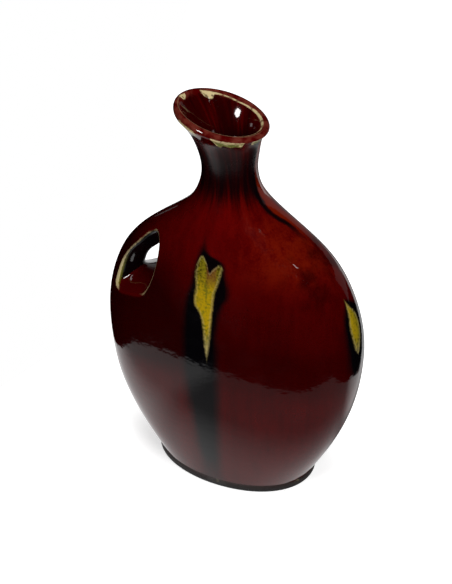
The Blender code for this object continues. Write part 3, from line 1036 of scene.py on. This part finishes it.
def neck_smears_and_shade(make, c, z, stored, surface):
    """Dark streaks that fan out from the neck on to the shoulder over painted shade on the neck, and a
    black waist.
    """
    flow = make.node("ShaderNodeCombineXYZ", None,
                     {0: stored["round_x"] * SMEAR_RADIUS, 1: stored["round_y"] * SMEAR_RADIUS, 2: z})
    smear = make.noise(flow, 0.0034, 4, stretch=(1, 1, 10), seed=(3, 0, 0))
    # Painted shade over the neck as a whole, strongest at its waist below the mouth
    neck_shade = make.ramp(z, 0.199, 0.226) * make.ramp(z, 0.252, 0.230, 0.55, 1.0) * 0.34
    share = make.ramp(smear * 0.5 + neck_shade + 0.22, 0.42, 0.78) * make.ramp(z, 0.184, 0.214)
    surface = make.mix(share * 0.94, surface, c.dark)
    waist = make.ramp(z, 0.206, 0.220) * make.ramp(z, 0.246, 0.232)
    return make.mix(waist * make.ramp(smear, 0.30, 0.60) * 0.7, surface, c.black)


def shoulder_line(make, c, place, x, y, z, surface):
    """The dark line that runs down the right shoulder, with a thinner warm strip behind it."""
    off = y - make.edge_line(x, SHOULDER_LINE) + make.wander(place, 0.006, 2, 0.003)
    along = make.ramp(x, 0.010, 0.016) * make.ramp(x, 0.050, 0.032) * make.ramp(z, 0.168, 0.180)
    behind = make.band(off, 0.0035, 0.0120, 0.0020)
    surface = make.mix(behind * along * 0.8, surface, c.warm)
    return make.mix(make.band(off, -0.0008, 0.0010, 0.0026) * along * 0.95, surface, c.black)


def with_runs(make, c, place, x, y, z, surface):
    """The yellow and black runs down the broad face and down the narrow right end."""
    on_front = make.ramp(y, 0.0, -0.004)
    on_end = make.ramp(x, 0.040, 0.050)
    surface = black_run(make, c, place, x, z, on_front, BLACK_LEFT, BLACK_RIGHT, surface)
    surface = black_run(make, c, place, y, z, on_end, END_BLACK_LEFT, END_BLACK_RIGHT, surface)
    below_fork = make.edge_line(x, FORK) - z
    surface = yellow_run(make, c, place, x, z, on_front, YELLOW_LEFT, YELLOW_RIGHT, surface,
                         make.ramp(z, 0.154, 0.172), below_fork)
    green_side = make.ramp(y, -0.0060, 0.0) * 0.6 + 0.35
    return yellow_run(make, c, place, y, z, on_end, END_YELLOW_LEFT, END_YELLOW_RIGHT, surface,
                      green_side)


def within_run(make, across, z, left, right):
    """How far a point lies inside the nearer edge of a run."""
    return make.maths("MINIMUM", across - make.edge_line(z, left), make.edge_line(z, right) - across)


def black_run(make, c, place, across, z, where, left, right, surface):
    """The dark part of a run, with edges that blur downwards."""
    ragged = make.wander(place, 0.004, 3, 0.0024, stretch=(1, 1, 4))
    inside = within_run(make, across, z, left, right) + ragged
    blur = make.ramp(z, 0.160, 0.060, 0.0026, 0.0050)
    share = make.ramp(inside / blur, -1.0, 1.0) * make.ramp(z, 0.010, 0.030, 0.60, 0.985)
    return make.mix(share * where, surface, c.black)


def yellow_run(make, c, place, across, z, where, left, right, surface, green, below_top=None):
    """The light part of a run: mottled yellow, green at its tips and pale along its edges."""
    inside = within_run(make, across, z, left, right)
    if below_top:
        inside = make.maths("MINIMUM", inside, below_top)
    inside = inside + make.wander(place, 0.0014, 3, 0.0016)
    fine, drawn = make.noise(place, 0.0016, 3), make.noise(place, 0.005, 2, stretch=(1, 1, 3))
    mottle = fine * 0.6 + drawn * 0.4
    body = make.mix(make.ramp(mottle, 0.36, 0.58), c.olive, c.yellow)
    tip = green + make.ramp(z, 0.136, 0.112) * 0.7
    body = make.mix(tip * 0.85, body, c.olive)
    body = make.mix(tip * make.ramp(mottle, 0.60, 0.36) * 0.80, body, c.dark)
    if below_top:
        notch = make.band(across, -0.0030, 0.0012, 0.0022) * make.ramp(z, 0.156, 0.168)
        body = make.mix(notch * 0.6, body, c.rim)
    pale = make.ramp(inside, 0.0018, 0.0002) * make.ramp(mottle, 0.36, 0.52)
    body = make.mix(pale * 0.22 + make.ramp(z, 0.130, 0.114) * 0.2, body, c.cream)
    return make.mix(make.ramp(inside, -0.0012, 0.0012) * where, surface, body)


def with_hole_break(make, c, place, x, z, stored, surface):
    """Cream where the glaze breaks over the edge of the handle opening, widest at its outer side,
    black painted inside the opening as its shade, weaker on its sill, and deep red on its sill."""
    inward, upward = stored["inward"], stored["upward"]
    beside = make.ramp(x, -0.030, -0.036) * make.ramp(z, 0.110, 0.120) * make.ramp(z, 0.200, 0.190)
    in_tunnel = beside * make.ramp(inward, 0.0004, 0.0016)
    on_sill = make.ramp(upward, 0.15, 0.55)
    surface = make.mix(beside * make.ramp(inward, 0.0, 0.0006) * on_sill, surface, c.deep)
    # Painted shade: black inside the opening, weakest on its upward-facing sill
    surface = make.mix(in_tunnel * make.ramp(on_sill, 0.0, 1.0, 1.0, 0.24), surface, c.black)

    ragged = make.wander(place, 0.0025, 3, 0.0014)
    on_face = make.ramp(inward, 0.0004, 0.0)
    outer = make.ramp(x, -0.062, -0.073) * make.ramp(z, 0.172, 0.148)
    width = outer * 0.0006 + 0.0009
    from_line = stored["hole_edge"] * (on_face * 1.2 + 1) + ragged - width
    above_sill = make.maths("MAXIMUM", make.ramp(z, 0.1376, 0.1394), make.ramp(x, -0.0705, -0.0728))
    off_sill = make.ramp(upward, 0.62, 0.46) * above_sill * beside
    green = make.ramp(from_line, 0.0022, 0.0004) * off_sill * in_tunnel * outer
    surface = make.mix(green * 0.7, surface, c.olive)
    cream = make.ramp(from_line, 0.0005, -0.0003) * off_sill
    return make.mix(cream * make.ramp(outer, 0.0, 1.0, 0.36, 0.66), surface, c.cream)


def with_lip_break(make, c, place, stored, surface):
    """The brown lip, the cream break below its outside with greenish drips, the one inside, and a
    painted highlight along the lip's near inner edge.
    """
    down, across = stored["down_lip"], stored["across_lip"]
    degrees = make.maths("ARCTAN2", stored["round_y"], stored["round_x"]) * (180 / math.pi)
    ragged = make.wander(place, 0.0020, 3, 0.0026)
    on_lip = make.ramp(down + ragged, 0.0054, 0.0030)
    lip = make.mix(make.ramp(make.noise(place, 0.0055, 4), 0.36, 0.62), c.rim, c.deep)
    surface = make.mix(on_lip, surface, lip)

    outside = make.ramp(across, 0.0020, 0.0012)
    reach = make.reach_round(degrees, CREAM_OUTSIDE) * CREAM_OUTSIDE_LENGTHENED + ragged
    cream = (outside * make.ramp(reach - down, -0.0003, 0.0006)
             * make.ramp(down + ragged * 0.5, 0.0010, 0.0018) * make.ramp(reach, 0.0020, 0.0034))
    blob = make.noise(place, 0.0030, 1, seed=(2, 5, 1))
    green = make.ramp(down, 0.0030, 0.0052) * make.ramp(blob, 0.34, 0.50)
    crack = make.ramp(make.noise(place, 0.0014, 3, stretch=(1, 1, 3), seed=(0, 7, 0)), 0.42, 0.34)
    break_colour = make.mix(crack * 0.6, make.mix(green * 0.9, c.cream, c.green), c.rim)
    surface = make.mix(cream, surface, break_colour)

    from_arris = across + stored["round_x"] * ARRIS_DRIFT - ARRIS_INWARD
    inside = make.ramp(from_arris, -0.0009, -0.0004)
    reach = make.reach_round(degrees, CREAM_INSIDE) + ragged * 0.3
    top = make.reach_round(degrees, CREAM_INSIDE_TOP) - ragged * 0.2
    cream = inside * make.ramp(reach - down, -0.0003, 0.0005) * make.ramp(down - top, -0.0004, 0.0003)
    surface = make.mix(cream * make.ramp(blob, 0.36, 0.48, 0.25, 0.95), surface, c.cream)
    # Painted highlight: a faint pale line along the lip's inner edge on the near side
    lip_highlight = make.band(from_arris, -0.0004, -0.0002, 0.0002) * make.ramp(stored["round_y"], 0.1, -0.3)
    return make.mix(lip_highlight * on_lip * 0.13, surface, c.cream)


def glaze_relief(make, place, z):
    """Broad ripples, orange peel and a fine tooth, and level throwing lines low on the body."""
    peel = make.noise(place, 0.0032, 1)
    ripple = make.noise(place, 0.0060, 1, stretch=(1, 1, 0.5))
    rings = make.noise(place, 0.0022, 1, stretch=(40, 40, 1))
    low = make.ramp(z, 0.12, 0.03)
    teeth = make.noise(place, 0.0016, 1)
    height = peel * 0.35 + ripple * 0.8 + teeth * 0.22 + rings * low * 0.20
    return make.node("ShaderNodeBump", None,
                     {"Height": height, "Distance": 0.00006, "Strength": 1.0})


def bare_clay(context):
    """Buff clay under dark brown that leaves only its right end barer, blackened towards the table as
    painted shade.
    """
    c = context.scene.vase_colours
    material, make, place, shader = piece_material("buff_clay")
    x, _, z = make.parts(place)
    grain = make.noise(place, 0.0008, 3)
    cloud = make.noise(place, 0.010, 3)
    surface = make.mix(make.ramp(grain, 0.36, 0.62) * 0.4, c.clay, c.cream)
    # Dark brown over the foot, thinner at its right end where the buff clay shows
    bare = make.ramp(x, 0.048, 0.058) * 0.12
    surface = make.mix(make.ramp(cloud + grain * 0.15 + bare, 0.88, 0.70), surface, c.stain)
    # Painted shade: black towards the table, where the foot meets it
    surface = make.mix(make.ramp(z, 0.0060, 0.0010, 0.2, 0.9), surface, c.black)
    make.join(surface, shader.inputs["Base Color"])
    make.join(make.ramp(grain, 0.3, 0.7, 0.55, 0.8), shader.inputs["Roughness"])
    relief = make.node("ShaderNodeBump", None,
                       {"Height": grain, "Distance": 0.0002, "Strength": 0.8})
    make.join(relief, shader.inputs["Normal"])
    return material


def stage_material(name):
    """A material of the stage, with a maker for its nodes and the socket they end in."""
    material = bpy.data.materials.new(name)
    material.use_nodes = True
    material.node_tree.nodes.clear()
    make = Maker(material.node_tree)
    end = make.node("ShaderNodeOutputMaterial", output=None)
    return material, make, end.inputs["Surface"]


class VASE_OT_stage(bpy.types.Operator):
    """Makes the white table, the dark room round it, the lamps and the camera"""

    bl_idname = "vase.stage"
    bl_label = "Stage and Camera"

    def execute(self, context):
        self.add_table()
        self.add_room()
        self.add_lamps()
        self.add_camera(context.scene)
        self.add_world(context.scene)
        context.scene.view_settings.view_transform = "Standard"
        return {"FINISHED"}

    def add_table(self):
        """A sheet, white to the camera and as bright to the glaze as the glaze shows it."""
        corners = [(x, y, 0) for x, y in TABLE_CORNERS]
        mesh = bpy.data.meshes.new("table")
        mesh.from_pydata(corners, [], [tuple(range(len(corners)))])
        material, make, surface = stage_material("table")
        x, y, _ = make.parts(make.node("ShaderNodeTexCoord", output="Object"))

        def distance(along, across):
            """How far off a place is, from how far along and across it lies."""
            return make.maths("SQRT", along ** 2 + across ** 2)

        # To mirrored rays the sheet glows as a painted pool of light, brightest left of the vase and at
        # its back right, with a painted shadow of the vase just behind it
        from_left = distance(x + 0.09, y * 2)
        glow = make.ramp(from_left, 0.10, 0.26, 0.86, 0.20) + make.ramp(x, -0.055, -0.10) * 0.4
        from_back = distance(x + 0.01, y - 0.02)
        glow = glow * (1 - make.ramp(from_back, 0.16, 0.10) * make.ramp(y, 0.01, 0.04) * 0.75)
        glow = glow + make.ramp(x, 0.07, 0.12) * make.ramp(y, 0.02, 0.07) * 0.6
        seen = make.node("ShaderNodeEmission", None, {"Color": make.grey(glow)})
        from_foot = distance((x - 0.003) / 0.058, y / 0.040)
        lit = make.ramp(from_foot, 1.05, 1.9, 0.50, 1.0)
        sheet = make.node("ShaderNodeBsdfPrincipled", None,
                          {"Base Color": (0.85, 0.85, 0.85, 1), "Roughness": 0.6,
                           "Emission Color": make.grey(lit), "Emission Strength": 1.0})
        mirrored = make.node("ShaderNodeLightPath", output="Is Glossy Ray")
        mixed = make.node("ShaderNodeMixShader", None, {0: mirrored, 1: sheet, 2: seen})
        make.join(mixed, surface)
        mesh.materials.append(material)
        add_object("table", mesh)

    def add_room(self):
        """Dark walls and a pale cloth behind the table, which only the glaze sees."""
        count = STEPS_ALONG_WALL + 1
        faces = [(k, k + 1, k + count + 1, k + count) for k in range(STEPS_ALONG_WALL)]
        for name, turns, heights, grey in ROOM_WALLS:
            turn = np.radians(np.linspace(*turns, count))
            ring = np.stack([-np.sin(turn), np.cos(turn)], 1) * ROOM_RADIUS
            self.add_wall(name, [(x, y, z) for z in heights for x, y in ring], faces, grey)
        square = [(x * ROOM_HALF_WIDTH, y * ROOM_HALF_WIDTH)
                  for x, y in ((-1, -1), (1, -1), (1, 1), (-1, 1))]
        verts = [(x, y, z) for z in (ROOM_BOTTOM, ROOM_TOP) for x, y in square]
        self.add_wall("dark_floor", verts, [(0, 1, 2, 3), (4, 5, 6, 7)], 0.0)

    def add_wall(self, name, verts, faces, grey):
        """A wall that only mirrored rays meet, and that gives as much light as it is grey."""
        mesh = bpy.data.meshes.new(name)
        mesh.from_pydata(verts, [], faces)
        material, make, surface = stage_material(name)
        shade = make.node("ShaderNodeEmission", None, {"Color": (grey, grey, grey, 1)})
        make.join(shade, surface)
        mesh.materials.append(material)
        wall = add_object(name, mesh)
        wall.visible_camera = wall.visible_diffuse = wall.visible_shadow = False

    def add_lamps(self):
        """Two lamps that the glaze doesn't mirror, a window and a spark for its highlights."""
        self.add_lamp("spark", place=(0.78, -0.04, 0.99), size=0.02, power=0.03)
        front = self.add_lamp("front_lamp", place=(-0.23, -0.90, 0.92), size=0.23, power=3.0)
        window = self.add_lamp("window", place=(-0.28, -0.93, 0.92), size=0.32, power=9.0)
        side = self.add_lamp("side_lamp", place=(0.70, -0.50, 0.95), size=0.60, power=9.0)
        front.visible_glossy = side.visible_glossy = False
        window.data.shape = "ELLIPSE"
        window.data.size_y = 0.42
        window.visible_diffuse = False

    def add_lamp(self, name, place, size, power):
        """A lamp turned to the vase."""
        light = bpy.data.lights.new(name, "AREA")
        light.size = size
        light.energy = power
        lamp = add_object(name, light)
        lamp.location = place
        aim = Vector(LAMP_TARGET) - Vector(place)
        lamp.rotation_euler = aim.to_track_quat("-Z", "Y").to_euler()
        return lamp

    def add_world(self, scene):
        """White to the camera and to mirrored rays, and a dim soft light on everything else."""
        world = bpy.data.worlds.new("studio")
        world.use_nodes = True
        tree = world.node_tree
        tree.nodes.clear()
        make = Maker(tree)
        camera, glossy, through = (make.node("ShaderNodeLightPath", output=name)
                                   for name in ("Is Camera Ray", "Is Glossy Ray",
                                                "Is Transmission Ray"))
        seen = camera + glossy + through
        soft = make.node("ShaderNodeBackground", None, {"Color": (1, 1, 1, 1), "Strength": 0.22})
        white = make.node("ShaderNodeBackground", None, {"Color": (1, 1, 1, 1), "Strength": 1.0})
        mixed = make.node("ShaderNodeMixShader", None, {0: seen, 1: soft, 2: white})
        make.node("ShaderNodeOutputWorld", None, {"Surface": mixed}, None)
        scene.world = world

    def add_camera(self, scene):
        """Stands the camera where the photograph was taken from."""
        back = Vector((math.sin(CAMERA_ROUND) * math.cos(CAMERA_UP),
                       -math.cos(CAMERA_ROUND) * math.cos(CAMERA_UP), math.sin(CAMERA_UP)))
        right = Vector((math.cos(CAMERA_ROUND), math.sin(CAMERA_ROUND), 0))
        up = back.cross(right)
        aim = right * CAMERA_SIDESTEP + Vector(CAMERA_TARGET)
        data = bpy.data.cameras.new("camera")
        data.sensor_fit = "VERTICAL"
        data.sensor_height = SENSOR_HEIGHT
        data.sensor_width = SENSOR_HEIGHT * PHOTO_WIDTH / PHOTO_HEIGHT
        data.lens = FOCAL_PIXELS * SENSOR_HEIGHT / PHOTO_HEIGHT
        camera = add_object("camera", data)
        camera.matrix_world = (Matrix.Translation(aim + back * CAMERA_DISTANCE)
                               @ Matrix((right, up, back)).transposed().to_4x4())
        scene.camera = camera


class VASE_PT_panel(bpy.types.Panel):
    """Lists the vase's sizes and the steps that build it"""

    bl_label = "Glazed Flask Vase"
    bl_idname = "VASE_PT_panel"
    bl_space_type = "VIEW_3D"
    bl_region_type = "UI"
    bl_category = "Vase"

    def draw(self, context):
        scene = context.scene
        for group in (scene.vase_sizes, scene.vase_handle, scene.vase_colours):
            box = self.layout.box()
            for name in group.__annotations__:
                box.prop(group, name)
        for step in STEPS:
            self.layout.operator(step.bl_idname)


STEPS = (VASE_OT_foot, VASE_OT_floor, VASE_OT_body, VASE_OT_handle, VASE_OT_neck, VASE_OT_mouth,
         VASE_OT_stage)
CLASSES = (VaseSizes, HandleSizes, GlazeColours, *STEPS, VASE_PT_panel)


def register():
    """Adds the sizes, the steps and the panel."""
    for each in CLASSES:
        bpy.utils.register_class(each)
    bpy.types.Scene.vase_sizes = bpy.props.PointerProperty(type=VaseSizes)
    bpy.types.Scene.vase_handle = bpy.props.PointerProperty(type=HandleSizes)
    bpy.types.Scene.vase_colours = bpy.props.PointerProperty(type=GlazeColours)


def unregister():
    """Takes them away again."""
    del bpy.types.Scene.vase_colours
    del bpy.types.Scene.vase_handle
    del bpy.types.Scene.vase_sizes
    for each in reversed(CLASSES):
        bpy.utils.unregister_class(each)


def main():
    """Builds the vase and its stage."""
    register()
    for step in STEPS:
        group, name = step.bl_idname.split(".")
        getattr(getattr(bpy.ops, group), name)()


if __name__ == "__main__":
    main()
